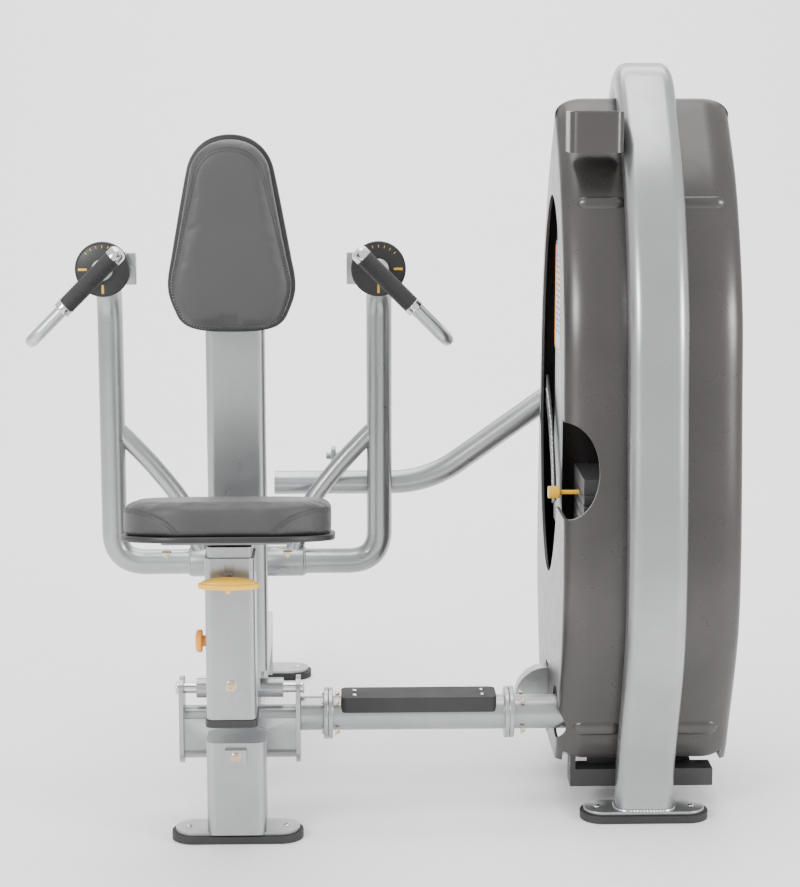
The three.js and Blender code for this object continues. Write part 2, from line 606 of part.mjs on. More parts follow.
// Several plates that move together, as one block.
function plateBlock(index) {
  const { width, depth, pitch, perGroup } = STACK;
  const height = perGroup * pitch - GAP;
  const low = STACK.bottom + index * perGroup * pitch;
  const middle = low + height / 2;
  const tools = [rodZ(14, height + 20, STACK.x, STACK.y, middle, 12),
    ...guideHoles(GUIDE.radius + 1.5, height + 20, middle)];
  if (index === STACK.groups - 1) tools.push(rodX(6, width / 2 + 20, STACK.x - width / 4, STACK.y, PIN_Z, 12));
  return cut(box(width, depth, height, STACK.x, STACK.y, middle), ...tools);
}

function stackBumper() {
  const low = PLATFORM_TOP + GAP;
  const strip = slab(50, 2 * GUIDE.offset + 50, 24, low, low + 10, STACK.x, STACK.y);
  return cut(strip, ...guideHoles(GUIDE.radius + 1, 40, low));
}

function headPlate() {
  const { width, depth, head } = STACK;
  const middle = stackTop + head / 2;
  const plate = box(width, depth, head, STACK.x, STACK.y, middle);
  return cut(plate, rodZ(13, head + 20, STACK.x, STACK.y, middle, 16),
    ...guideHoles(GUIDE.radius + 1.5, head + 20, middle));
}

function selectorStem() {
  const top = stackTop + STACK.head;
  const low = STACK.bottom + 6;
  const rod = rodZ(12, top + 50 - low, STACK.x, STACK.y, (top + 50 + low) / 2, 16);
  const collar = rodZ(24, 16, STACK.x, STACK.y, top + GAP + 8, 16);
  return cut(join(rod, collar), rodX(6, 60, STACK.x, STACK.y, PIN_Z, 12));
}

function selectorPin() {
  const tip = STACK.x + 6;
  const knob = -174;
  const shaft = rodX(5, tip - knob, (tip + knob) / 2, STACK.y, PIN_Z, 12);
  return join(shaft, rodX(14, 26, knob - 13, STACK.y, PIN_Z, 20));
}

// The held cable: in along the cross tube, up round the lower pulley and over the upper one.
function driveCable() {
  const quarter = (centre, a, b) => {
    const corner = a.clone().add(b).sub(centre);
    const bow = (p) => p.clone().lerp(corner, 0.5523);
    return pipe(new THREE.CubicBezierCurve3(a, bow(a), bow(b), b), PULLEY.cable, 8, 6);
  };
  const run = (a, b) => pipe(straight(a, b), PULLEY.cable, 1, 6);
  const { x } = STACK;
  const [r, R] = [PULLEY.lower - 4, PULLEY.upper - 4];
  const low = v(LOWER_PULLEY.x, CROSS.y, LOWER_PULLEY.z);
  const high = v(x, UPPER_PULLEY.y, UPPER_PULLEY.z);
  const inlet = v(STATION_X - TOWER_X + BLOCK.half + 4, CROSS.y, CROSS.z);
  const [under, beside] = [v(low.x, CROSS.y, low.z - r), v(low.x + r, CROSS.y, low.z)];
  const [rise, over, down] = [v(x, high.y - R, high.z), v(x, high.y, high.z + R), v(x, high.y + R, high.z)];
  return join(run(inlet, under), quarter(low, under, beside), run(beside, rise),
    quarter(high, rise, over), quarter(high, over, down));
}

function liftCable() {
  const bottom = stackTop + STACK.head + 50 + GAP;
  const top = UPPER_PULLEY.z - GAP;
  return rodZ(PULLEY.cable, top - bottom, STACK.x, STACK.y, (top + bottom) / 2, 8);
}

function pulleyGuard() {
  const disc = rodY(GUARD.radius, GUARD.thick, -196, GUARD.y, GUARD.z, 40);
  return keep(disc, box(200, 100, 200, -250, GUARD.y, GUARD.z));
}

// Curved scale beside the stack: a band that falls from the tower's rear to its front.
const SCALE = { x: -182, thick: 5, width: 62, rearY: 118, frontY: -112, highZ: 925, lowZ: 668 };
function scaleStrip() {
  const { rearY, frontY, highZ, lowZ, width } = SCALE;
  const shape = new THREE.Shape();
  shape.moveTo(rearY, highZ);
  shape.quadraticCurveTo(frontY + 40, highZ - 120, frontY, lowZ);
  shape.lineTo(frontY + width, lowZ - 20);
  shape.quadraticCurveTo(frontY + width + 30, highZ - 150, rearY + 8, highZ - width);
  const strip = new THREE.ExtrudeGeometry(shape, { depth: SCALE.thick, bevelEnabled: false, curveSegments: 10 });
  strip.applyMatrix4(new THREE.Matrix4().makeBasis(v(0, 1, 0), v(0, 0, 1), v(1, 0, 0)));
  return strip.translate(SCALE.x, 0, 0);
}

// ---- assembly -------------------------------------------------------------------------------
function buildTower() {
  for (const [name, end] of [['front', 1], ['rear', -1]]) {
    piece(tower, `tower_${name}_foot_pad`, footPad(ARCH.midY + end * ARCH_HALF[0][0]), BLACK);
  }
  piece(tower, 'arch', arch(), SILVER);
  const shell = shroudShell();
  piece(tower, 'front_shroud', shroudHalf(shell, -700, SPLIT_Y - GAP / 2), CHARCOAL);
  piece(tower, 'rear_shroud', shroudHalf(shell, SPLIT_Y + GAP / 2, 500), CHARCOAL);
  piece(tower, 'top_tray', topTray(), CHARCOAL);
  piece(tower, 'inner_frame', innerFrame(), IRON);
  for (const [name, side] of [['front', -1], ['rear', 1]]) {
    const foot = PLATFORM_TOP + GAP;
    const length = GUIDE.top - foot;
    piece(tower, `guide_rod_${name}`,
      rodZ(GUIDE.radius, length, STACK.x, STACK.y + side * GUIDE.offset, foot + length / 2, 16), STEEL);
  }
  piece(tower, 'stack_bumper', stackBumper(), BLACK);
  for (let i = 0; i < STACK.groups; i++) {
    piece(tower, `weight_plates_${i + 1}`, plateBlock(i), IRON);
  }
  piece(tower, 'head_plate', headPlate(), IRON);
  piece(tower, 'selector_stem', selectorStem(), STEEL);
  piece(tower, 'selector_pin', selectorPin(), YELLOW);
  const upper = pulley(PULLEY.upper).translate(STACK.x, UPPER_PULLEY.y, UPPER_PULLEY.z);
  piece(tower, 'upper_pulley', upper, BLACK);
  const lower = pulley(PULLEY.lower).rotateZ(Math.PI / 2);
  piece(tower, 'lower_pulley', lower.translate(LOWER_PULLEY.x, CROSS.y, LOWER_PULLEY.z), BLACK);
  piece(tower, 'drive_cable', driveCable(), BLACK);
  piece(tower, 'lift_cable', liftCable(), BLACK);
  piece(tower, 'pulley_guard', pulleyGuard(), SILVER);
  piece(tower, 'window_panel', slabPanel(PANEL.x, PANEL.thick, PANEL.y, 146, 930, 690), LIGHT);
  const cardX = PANEL.x - CARD_THICK - GAP;
  piece(tower, 'instruction_placard', slabPanel(cardX, CARD_THICK, PANEL.y, 124, 1120, 250), LIGHT);
  piece(tower, 'weight_scale', scaleStrip(), BLACK);
}

const PANEL = { x: -164, thick: 4, y: 15 };
const CARD_THICK = 2;
// A thin rectangular panel facing -X.
const slabPanel = (x, thick, y, depth, z, height) => box(thick, depth, height, x + thick / 2, y, z);

buildStation();
buildRocker();
buildSeat();
buildArms();
buildTower();
piece(machine, 'station_stub', stationStub(), SILVER);
piece(machine, 'cross_tube', crossTube(), SILVER);
piece(machine, 'tower_stub', towerStub(), SILVER);
piece(machine, 'step_pad', stepPad(), BLACK);
piece(machine, 'upper_tube', upperTube(), SILVER);

// The origin is at floor level under the middle of the whole machine.
const bounds = new THREE.Box3().setFromObject(machine);
machine.position.set(-(bounds.min.x + bounds.max.x) / 2, -(bounds.min.y + bounds.max.y) / 2, 0);

export default machine;
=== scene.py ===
"""Looks for the seated press machine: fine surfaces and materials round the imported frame."""
import math

import bmesh
import bpy
import numpy as np
from mathutils import Matrix, Vector
from mathutils.bvhtree import BVHTree


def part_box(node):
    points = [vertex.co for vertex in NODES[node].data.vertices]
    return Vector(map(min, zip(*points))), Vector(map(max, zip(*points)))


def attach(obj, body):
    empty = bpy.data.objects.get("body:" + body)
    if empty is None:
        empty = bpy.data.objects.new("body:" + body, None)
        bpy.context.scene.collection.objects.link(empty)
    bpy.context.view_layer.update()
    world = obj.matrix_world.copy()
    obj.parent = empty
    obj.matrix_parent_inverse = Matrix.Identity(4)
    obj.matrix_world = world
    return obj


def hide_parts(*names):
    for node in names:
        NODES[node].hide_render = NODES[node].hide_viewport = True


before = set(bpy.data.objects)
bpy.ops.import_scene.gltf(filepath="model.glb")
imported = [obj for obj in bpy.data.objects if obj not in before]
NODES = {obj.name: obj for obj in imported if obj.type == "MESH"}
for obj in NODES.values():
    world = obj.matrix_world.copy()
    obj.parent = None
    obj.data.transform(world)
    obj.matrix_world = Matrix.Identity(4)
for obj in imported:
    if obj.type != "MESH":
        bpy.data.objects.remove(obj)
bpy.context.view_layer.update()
SCENE = bpy.context.scene


def middle(node):
    low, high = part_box(node)
    return (low + high) / 2


POST_Y = -0.460  # the front post, from the origin that the station and tower share
STATION_X = middle("front_foot_pad").x
TOWER_X = middle("tower_front_foot_pad").x
STATION_LEFT, TOWER_RIGHT = 0.308, 0.587  # how far each stands from that origin along X
ORIGIN_X = (STATION_X + STATION_LEFT + TOWER_X - TOWER_RIGHT) / 2
ORIGIN_Y = middle("front_foot_pad").y - POST_Y
X, Y, Z = Vector((1, 0, 0)), Vector((0, 1, 0)), Vector((0, 0, 1))


def station(x, y, z):
    return Vector((STATION_X + x, ORIGIN_Y + y, z))


def tower(x, y, z):
    return Vector((TOWER_X + x, ORIGIN_Y + y, z))


# ---- camera ---------------------------------------------------------------------------------
LENS, CAMERA_AT = 87.2, (-0.075, -4.903, 1.640)
CAMERA_DOWN, CAMERA_RIGHT = 9.93, 1.59  # degrees


def make_camera():
    data = bpy.data.cameras.new("camera")
    data.lens = LENS
    camera = bpy.data.objects.new("camera", data)
    camera.location = CAMERA_AT
    camera.rotation_euler = (math.radians(90 - CAMERA_DOWN), 0, math.radians(-CAMERA_RIGHT))
    SCENE.collection.objects.link(camera)
    SCENE.camera = camera


# ---- materials ------------------------------------------------------------------------------
def surface(name, colour, shade, roughness, metallic=0.0, spread=0.08, mottle=7.0,
            grain=900.0, height=0.00004, cells=False, coat=0.0, sheen=0.0, wear=None):
    """A material with mottled colour, uneven roughness, fine grain and worn edges."""
    material = bpy.data.materials.new(name)
    material.use_nodes = True
    tree = material.node_tree
    shader = tree.nodes["Principled BSDF"]
    shader.inputs["Metallic"].default_value = metallic
    shader.inputs["Coat Weight"].default_value = coat
    shader.inputs["Coat Roughness"].default_value = 0.25
    shader.inputs["Sheen Weight"].default_value = sheen
    place = tree.nodes.new("ShaderNodeTexCoord").outputs["Object"]

    def noise(scale, detail):
        node = tree.nodes.new("ShaderNodeTexNoise")
        node.inputs["Scale"].default_value = scale
        node.inputs["Detail"].default_value = detail
        tree.links.new(place, node.inputs["Vector"])
        return node.outputs["Fac"]

    def mix(factor, first, second):
        node = tree.nodes.new("ShaderNodeMix")
        node.data_type = "RGBA"
        tree.links.new(factor, node.inputs["Factor"])
        for socket, value in ((node.inputs[6], first), (node.inputs[7], second)):
            if isinstance(value, tuple):
                socket.default_value = (*value, 1)
            else:
                tree.links.new(value, socket)
        return node.outputs[2]

    def ramp(source, low, high):
        node = tree.nodes.new("ShaderNodeMapRange")
        node.inputs["From Min"].default_value = low
        node.inputs["From Max"].default_value = high
        tree.links.new(source, node.inputs["Value"])
        return node.outputs["Result"]

    tint = mix(ramp(noise(mottle, 5), 0.3, 0.7), colour, shade)
    speck = mix(ramp(noise(grain * 1.7, 2), 0.45, 0.75), tint, tuple(min(1, c * 1.12) for c in colour))
    if wear:
        edge = tree.nodes.new("ShaderNodeNewGeometry").outputs["Pointiness"]
        speck = mix(ramp(edge, 0.53, 0.60), speck, wear)
    tree.links.new(speck, shader.inputs["Base Color"])
    rough = tree.nodes.new("ShaderNodeMapRange")
    rough.inputs["To Min"].default_value = roughness - spread
    rough.inputs["To Max"].default_value = roughness + spread
    tree.links.new(noise(mottle * 4, 4), rough.inputs["Value"])
    tree.links.new(rough.outputs["Result"], shader.inputs["Roughness"])
    if cells:
        relief = tree.nodes.new("ShaderNodeTexVoronoi")
        relief.feature = "DISTANCE_TO_EDGE"
        relief.inputs["Scale"].default_value = grain
        tree.links.new(place, relief.inputs["Vector"])
        relief = ramp(relief.outputs["Distance"], 0.0, 0.25)
    else:
        relief = noise(grain, 3)
    bump = tree.nodes.new("ShaderNodeBump")
    bump.inputs["Strength"].default_value = 1.0
    bump.inputs["Distance"].default_value = height
    tree.links.new(relief, bump.inputs["Height"])
    tree.links.new(bump.outputs["Normal"], shader.inputs["Normal"])
    return material


SILVER = surface("silver_paint", (0.37, 0.375, 0.38), (0.32, 0.325, 0.33), 0.30, 0.85,
                 wear=(0.52, 0.53, 0.54))
CHARCOAL = surface("charcoal_shell", (0.072, 0.067, 0.065), (0.058, 0.054, 0.052), 0.30, 0.60,
                   grain=1400, height=0.00002, coat=0.15)
VINYL = surface("grey_vinyl", (0.040, 0.040, 0.041), (0.033, 0.033, 0.034), 0.48, cells=True,
                grain=620, height=0.00010, sheen=0.05)
THREAD = surface("seam_thread", (0.030, 0.030, 0.031), (0.020, 0.020, 0.021), 0.7, grain=2600)
RUBBER = surface("black_rubber", (0.016, 0.016, 0.017), (0.024, 0.024, 0.025), 0.66,
                 grain=700, height=0.00012, wear=(0.05, 0.05, 0.05))
PLASTIC = surface("black_plastic", (0.014, 0.014, 0.015), (0.020, 0.020, 0.021), 0.42,
                  grain=1100, height=0.00006)
STEEL = surface("polished_steel", (0.72, 0.72, 0.73), (0.62, 0.62, 0.63), 0.14, 1.0,
                spread=0.05, mottle=18, grain=1600, height=0.00001)
ROD = surface("satin_steel", (0.55, 0.56, 0.57), (0.48, 0.49, 0.50), 0.38, 1.0, mottle=14)
IRON = surface("black_iron", (0.030, 0.030, 0.031), (0.042, 0.042, 0.044), 0.5, 0.3,
               grain=420, height=0.00015, wear=(0.10, 0.10, 0.10))
YELLOW = surface("yellow_plastic", (0.92, 0.52, 0.030), (0.84, 0.45, 0.024), 0.34, coat=0.2)
ORANGE = surface("orange_plastic", (0.86, 0.32, 0.020), (0.78, 0.27, 0.018), 0.36, coat=0.2)
PANEL = surface("light_panel", (0.52, 0.53, 0.54), (0.47, 0.48, 0.49), 0.45, grain=1200)
PAPER = surface("placard_print", (0.78, 0.79, 0.80), (0.72, 0.73, 0.74), 0.5, grain=1800)
INK = surface("grey_ink", (0.20, 0.21, 0.22), (0.16, 0.17, 0.18), 0.6)
GOLD = surface("zinc_plate", (0.60, 0.50, 0.36), (0.52, 0.42, 0.29), 0.3, 1.0, mottle=60)


# ---- shells ---------------------------------------------------------------------------------
def ring_faces(rows, count):
    faces = [(r * count + i, r * count + (i + 1) % count,
              (r + 1) * count + (i + 1) % count, (r + 1) * count + i)
             for r in range(rows - 1) for i in range(count)]
    faces.append(tuple(range(count))[::-1])
    faces.append(tuple((rows - 1) * count + i for i in range(count)))
    return faces


def sweep(points, section, side=None):
    """A closed shell: section, a function of 0 to 1 or a fixed outline, carried along points."""
    verts, previous = [], side
    last = len(points) - 1
    for i, point in enumerate(points):
        tangent = (points[min(i + 1, last)] - points[max(i - 1, 0)]).normalized()
        if previous is None:
            previous = tangent.orthogonal()
        u = (previous - tangent * previous.dot(tangent)).normalized()
        previous = u
        w = tangent.cross(u)
        outline = section(i / last) if callable(section) else section
        verts += [point + u * a + w * b for a, b in outline]
    return verts, ring_faces(len(points), len(outline))


def circle(radius, sides=32):
    return [(radius * math.cos(2 * math.pi * i / sides), radius * math.sin(2 * math.pi * i / sides))
            for i in range(sides)]


def rounded(width, height, radius, steps=8):
    corners = ((1, 1, 0), (-1, 1, 1), (-1, -1, 2), (1, -1, 3))
    points = []
    for sx, sy, turn in corners:
        for i in range(steps + 1):
            angle = math.pi / 2 * (turn + i / steps)
            points.append((sx * (width / 2 - radius) + radius * math.cos(angle),
                           sy * (height / 2 - radius) + radius * math.sin(angle)))
    return points


def turned(at, axis, profile, sides=32):
    """A closed shell turned about axis; profile holds (along, radius) from end to end."""
    axis = axis.normalized()
    u = axis.orthogonal().normalized()
    w = axis.cross(u)
    verts = [at + axis * along + u * a + w * b
             for along, radius in profile for a, b in circle(radius, sides)]
    return verts, ring_faces(len(profile), sides)


def barrel(length, radius, edge, steps=4):
    """The profile of a cylinder with rounded edges."""
    start = [(edge - edge * math.cos(a), radius - edge + edge * math.sin(a))
             for a in (math.pi / 2 * i / steps for i in range(steps + 1))]
    return start + [(length - along, r) for along, r in reversed(start)]


def from_bmesh(bm):
    bm.verts.ensure_lookup_table()
    bm.verts.index_update()
    parts = [v.co.copy() for v in bm.verts], [tuple(v.index for v in f.verts) for f in bm.faces]
    bm.free()
    return parts


def block(centre, size, edge=0.002, turn=None):
    """A box with rounded edges."""
    bm = bmesh.new()
    bmesh.ops.create_cube(bm, size=1)
    bmesh.ops.scale(bm, verts=bm.verts, vec=size)
    bmesh.ops.bevel(bm, geom=bm.edges[:], offset=edge, segments=3, affect="EDGES", profile=0.5)
    bmesh.ops.transform(bm, matrix=Matrix.Translation(centre) @ (turn or Matrix()), verts=bm.verts)
    return from_bmesh(bm)


def plate(outline, thick, place, edge=0.0015):
    """An outline in the local XY plane raised to thick, its rims rounded."""
    bm = bmesh.new()
    face = bm.faces.new([bm.verts.new((x, y, 0)) for x, y in outline])
    up = bmesh.ops.extrude_face_region(bm, geom=[face])
    raised = [v for v in up["geom"] if isinstance(v, bmesh.types.BMVert)]
    bmesh.ops.translate(bm, verts=raised, vec=(0, 0, thick))
    bmesh.ops.recalc_face_normals(bm, faces=bm.faces)
    rims = [e for e in bm.edges if abs(e.verts[0].co.z - e.verts[1].co.z) < 1e-9]
    bmesh.ops.bevel(bm, geom=rims, offset=edge, segments=3, affect="EDGES", profile=0.5)
    bmesh.ops.transform(bm, matrix=place, verts=bm.verts)
    return from_bmesh(bm)


def bezier(*controls, steps=12):
    a, b, c, d = (Vector(p) for p in controls)
    return [a * (1 - t) ** 3 + b * 3 * t * (1 - t) ** 2 + c * 3 * t * t * (1 - t) + d * t ** 3
            for t in (i / steps for i in range(steps))]


def bent(points, bend, steps=10):
    """Straight runs joined by smooth bends at the inner points."""
    path = [points[0]]
    for before, corner, after in zip(points, points[1:], points[2:]):
        a = corner + (before - corner).normalized() * bend
        b = corner + (after - corner).normalized() * bend
        for i in range(steps + 1):
            t = i / steps
            path.append(a * (1 - t) ** 2 + corner * 2 * t * (1 - t) + b * t * t)
    return path + [points[-1]]


def evenly(points, count):
    """The same path with count + 1 points at equal steps."""
    lengths = [0.0]
    for a, b in zip(points, points[1:]):
        lengths.append(lengths[-1] + (b - a).length)
    coords = np.array([tuple(p) for p in points])
    wanted = np.linspace(0, lengths[-1], count + 1)
    columns = [np.interp(wanted, lengths, coords[:, k]) for k in range(3)]
    return [Vector(p) for p in zip(*columns)]


def smooth_curve(points, steps=24):
    """A centripetal Catmull-Rom curve through points."""
    ends = [points[0] * 2 - points[1], *points, points[-1] * 2 - points[-2]]
    path = []
    for p0, p1, p2, p3 in zip(ends, ends[1:], ends[2:], ends[3:]):
        t0, t1 = 0.0, math.sqrt((p1 - p0).length)
        t2 = t1 + math.sqrt((p2 - p1).length)
        t3 = t2 + math.sqrt((p3 - p2).length)
        for i in range(steps):
            s = t1 + (t2 - t1) * i / steps
            a = p0 * ((t1 - s) / (t1 - t0)) + p1 * ((s - t0) / (t1 - t0))
            b = p1 * ((t2 - s) / (t2 - t1)) + p2 * ((s - t1) / (t2 - t1))
            c = p2 * ((t3 - s) / (t3 - t2)) + p3 * ((s - t2) / (t3 - t2))
            d = a * ((t2 - s) / (t2 - t0)) + b * ((s - t0) / (t2 - t0))
            e = b * ((t3 - s) / (t3 - t1)) + c * ((s - t1) / (t3 - t1))
            path.append(d * ((t2 - s) / (t2 - t1)) + e * ((s - t1) / (t2 - t1)))
    return path + [points[-1]]


# ---- objects --------------------------------------------------------------------------------
def build(name, parts):
    """One mesh object from several closed shells."""
    verts, faces = [], []
    for more_verts, more_faces in parts:
        offset = len(verts)
        verts += more_verts
        faces += [tuple(offset + i for i in face) for face in more_faces]
    mesh = bpy.data.meshes.new(name)
    mesh.from_pydata([tuple(v) for v in verts], [], faces)
    bm = bmesh.new()
    bm.from_mesh(mesh)
    bmesh.ops.recalc_face_normals(bm, faces=bm.faces)
    bm.to_mesh(mesh)
    bm.free()
    thing = bpy.data.objects.new(name, mesh)
    SCENE.collection.objects.link(thing)
    return thing


def finish_piece(thing, material, body, stands_for=(), sharp=38):
    thing.data.materials.clear()
    thing.data.materials.append(material)
    thing.data.shade_smooth()
    thing.data.set_sharp_from_angle(angle=math.radians(sharp))
    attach(thing, body)
    if stands_for:
        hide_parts(*stands_for)
    return thing


def piece(name, parts, material, body, stands_for=(), sharp=38):
    return finish_piece(build(name, parts), material, body, stands_for, sharp)


def settle(thing):
    """Replaces the mesh by what its modifiers make of it."""
    graph = bpy.context.evaluated_depsgraph_get()
    mesh = bpy.data.meshes.new_from_object(thing.evaluated_get(graph))
    thing.modifiers.clear()
    thing.data = mesh
    return thing


def carve(thing, tools, operation="DIFFERENCE"):
    for tool in tools:
        cutter = build("cutter", [tool])
        step = thing.modifiers.new("cut", "BOOLEAN")
        step.object = cutter
        step.operation = operation
        step.solver = "MANIFOLD"
        settle(thing)
        bpy.data.objects.remove(cutter)
    return thing


def soft_edges():
    """A node group that welds a faceted solid and shades it smooth, sharp at its real edges."""
    group = bpy.data.node_groups.new("soft_edges", "GeometryNodeTree")
    group.interface.new_socket("Geometry", in_out="INPUT", socket_type="NodeSocketGeometry")
    group.interface.new_socket("Geometry", in_out="OUTPUT", socket_type="NodeSocketGeometry")
    nodes, links = group.nodes, group.links
    weld = nodes.new("GeometryNodeMergeByDistance")
    weld.inputs["Distance"].default_value = 0.00005
    plain = nodes.new("GeometryNodeRemoveAttribute")
    plain.inputs["Name"].default_value = "custom_normal"
    smooth = nodes.new("GeometryNodeSetShadeSmooth")
    crease = nodes.new("GeometryNodeSetShadeSmooth")
    crease.domain = "EDGE"
    crease.inputs["Shade Smooth"].default_value = False
    angle = nodes.new("GeometryNodeInputMeshEdgeAngle")
    steep = nodes.new("FunctionNodeCompare")
    steep.operation = "GREATER_THAN"
    steep.inputs[1].default_value = math.radians(35)
    links.new(nodes.new("NodeGroupInput").outputs[0], plain.inputs["Geometry"])
    links.new(plain.outputs[0], weld.inputs["Geometry"])
    links.new(weld.outputs[0], smooth.inputs["Geometry"])
    links.new(smooth.outputs[0], crease.inputs["Geometry"])
    links.new(angle.outputs["Unsigned Angle"], steep.inputs[0])
    links.new(steep.outputs[0], crease.inputs["Selection"])
    links.new(crease.outputs[0], nodes.new("NodeGroupOutput").inputs[0])
    return group


def dress(material, edge, *names):
    """Gives CAD nodes a material and small rounded edges."""
    for name in names:
        node = NODES[name]
        node.data.materials.clear()
        node.data.materials.append(material)
        node.modifiers.new("soft_edges", "NODES").node_group = SOFT_EDGES
        rim = node.modifiers.new("rim", "BEVEL")
        rim.width = edge
        rim.segments = 3
        rim.limit_method = "ANGLE"
        rim.angle_limit = math.radians(35)


def hex_bolt(at, axis, size=0.008, head=0.006):
    washer = turned(at, axis, barrel(0.0016, size * 1.25, 0.0006), 24)
    nut = turned(at + axis * 0.0016, axis, [(0, size * 0.9), (head * 0.8, size * 0.9),
                                            (head, size * 0.72)], 6)
    tip = turned(at + axis * (0.0016 + head), axis, barrel(0.003, size * 0.45, 0.0006), 16)
    return [washer, nut, tip]


def button_screw(at, axis, radius=0.006, rise=0.0032):
    """A domed screw head with a round socket sunk in its crown."""
    dome = [(rise * math.sin(a), radius * math.cos(a)) for a in
            (math.pi / 2 * i / 8 for i in range(7))]
    head = [(-0.001, radius), *dome, (rise * 0.98, radius * 0.34), (rise * 0.35, radius * 0.32)]
    return turned(at, axis, head, 24)


# ---- tower ----------------------------------------------------------------------------------
ARCH_Y = -0.110
ARCH_HALF = ((-0.248, 0.022), (-0.255, 0.110), (-0.374, 0.446), (-0.342, 0.951),
             (-0.310, 1.164), (-0.206, 1.400), (-0.112, 1.520), (0, 1.612))
ARCH_WIDTH, ARCH_DEPTH = 0.127, 0.076
SHROUD_WIDTH, SHROUD_FLOOR, SHROUD_WALL = 0.384, 0.112, 0.006
SPLIT_Y = -0.100
CROSS_Y, CROSS_Z, CROSS_RADIUS = -0.290, 0.223, 0.0381
STACK_X, STACK_Y, STACK_LOW, PLATE_PITCH = -0.035, -0.144, 0.205, 0.025
PLATE_SIZE, LABEL_SIZE = (0.190, 0.204, PLATE_PITCH - 0.0012), (0.0012, 0.060, 0.012)
GROUPS, GROUP_PLATES = 4, 5


def arch_line():
    front = [tower(0, ARCH_Y + y, z) for y, z in ARCH_HALF]
    rear = [tower(0, ARCH_Y - y, z) for y, z in ARCH_HALF[-2::-1]]
    return evenly(smooth_curve(front + rear), 128)


def make_arch():
    tube = sweep(arch_line(), rounded(ARCH_WIDTH, ARCH_DEPTH, 0.030), side=X)
    parts = [tube]
    for end in (-1, 1):
        foot = tower(0, ARCH_Y + end * ARCH_HALF[0][0], 0.0163)
        parts.append(plate(rounded(0.268, 0.086, 0.042), 0.0077, Matrix.Translation(foot)))
        parts.append(weld_round(foot + Z * 0.0085, ARCH_WIDTH, ARCH_DEPTH, 0.030))
    piece("arch_tube", parts, SILVER, "frame", ["arch"])


def weld_round(at, width, depth, radius):
    """A weld bead lying round the foot of a rounded tube."""
    ring = [at + Vector((x, y, 0)) for x, y in rounded(width + 0.003, depth + 0.003, radius, 10)]
    ring.append(ring[0])
    path = evenly(ring, 150)
    return sweep(path, lambda t: circle(0.0036 + 0.0007 * math.sin(t * 150 * 2.1), 8))


def tower_outline(inset, floor):
    line = arch_line()
    points = []
    for i, p in enumerate(line):
        if p.z < SHROUD_FLOOR + 0.010:
            continue
        along = (line[min(i + 1, 128)] - line[max(i - 1, 0)]).normalized()
        points.append((p.y + along.z * inset, p.z - along.y * inset))
    base = -ARCH_HALF[0][0] - inset - 0.008
    centre = ORIGIN_Y + ARCH_Y
    return [(centre - base, floor), *points, (centre + base, floor)]


def tower_body(inset, width, floor, steps=12):
    """The egg-shaped body: the outline carried across X with rounded, slightly full sides."""
    thick, size, full = 0.062, 0.034, 0.003
    rings = []
    for side in (-1, 1):
        order = range(steps + 1) if side < 0 else range(steps, -1, -1)
        for i in order:
            angle = math.pi / 2 * i / steps
            x = side * (width / 2 - thick + thick * math.cos(angle))
            rings.append((x, tower_outline(inset + size * (1 - math.sin(angle)), floor)))
    centre_y = ORIGIN_Y + ARCH_Y
    centre_z = sum(z for _, z in rings[0][1]) / len(rings[0][1])

    def inner(ring, side):
        x, outline = ring
        shrunk = []
        for k in (0.96, 0.86, 0.70, 0.48, 0.24):
            points = [(centre_y + (y - centre_y) * k, centre_z + (z - centre_z) * k) for y, z in outline]
            shrunk.append((x + side * full * (1 - k * k), points))
        return shrunk

    rings = inner(rings[0], -1)[::-1] + rings + inner(rings[-1], 1)
    verts = [Vector((TOWER_X + x, y, z)) for x, outline in rings for y, z in outline]
    return verts, ring_faces(len(rings), len(rings[0][1]))


def ellipse_hole(y, z, ry, rz, start, end, sides=72):
    verts = [tower(x, y + ry * a, z + rz * b) for x in (start, end) for a, b in circle(1, sides)]
    return verts, ring_faces(2, sides)


def window_holes():
    """The side window and its lower end, which comes round the front corner."""
    outline = [(0.074 * a, 0.104 * b) for a, b in circle(1, 72)]
    lobe = [tower(-0.192 + x, y, 0.790 + z) for y in (-0.470, -0.270) for x, z in outline]
    return [ellipse_hole(-0.090, 0.930, 0.225, 0.430, -0.240, -0.150), (lobe, ring_faces(2, 72))]


def make_shrouds():
    inset = ARCH_DEPTH / 2 + 0.0015
    shell = build("shell", [tower_body(inset, SHROUD_WIDTH, SHROUD_FLOOR)])
    inside = tower_body(inset + SHROUD_WALL, SHROUD_WIDTH - 2 * SHROUD_WALL, SHROUD_FLOOR + 0.008)
    flange = turned(tower(-0.270, CROSS_Y, CROSS_Z), X, [(0, 0.0585), (0.140, 0.0585)], 48)
    guard = block(tower(-0.190, -0.100, 0.204), (0.080, 0.060, 0.160), 0.006)
    underside = block(tower(0, ARCH_Y, SHROUD_FLOOR), (SHROUD_WIDTH - 0.030, 0.420, 0.060), 0.004)
    carve(shell, [inside, *window_holes(), flange, guard, underside])
    halves = {"front_shell": (-1.0, SPLIT_Y - 0.0006, "front_shroud"),
              "rear_shell": (SPLIT_Y + 0.0006, 1.0, "rear_shroud")}
    surfaces = {}
    for name, (start, end, node) in halves.items():
        half = bpy.data.objects.new(name, shell.data.copy())
        SCENE.collection.objects.link(half)
        region = block(tower(0, (start + end) / 2, 0.9), (0.8, end - start, 2.0), 0.0001)
        carve(half, [region], "INTERSECT")
        finish_piece(half, CHARCOAL, "frame", [node], sharp=32)
        surfaces[name] = half
    bpy.data.objects.remove(shell)
    return surfaces["front_shell"]


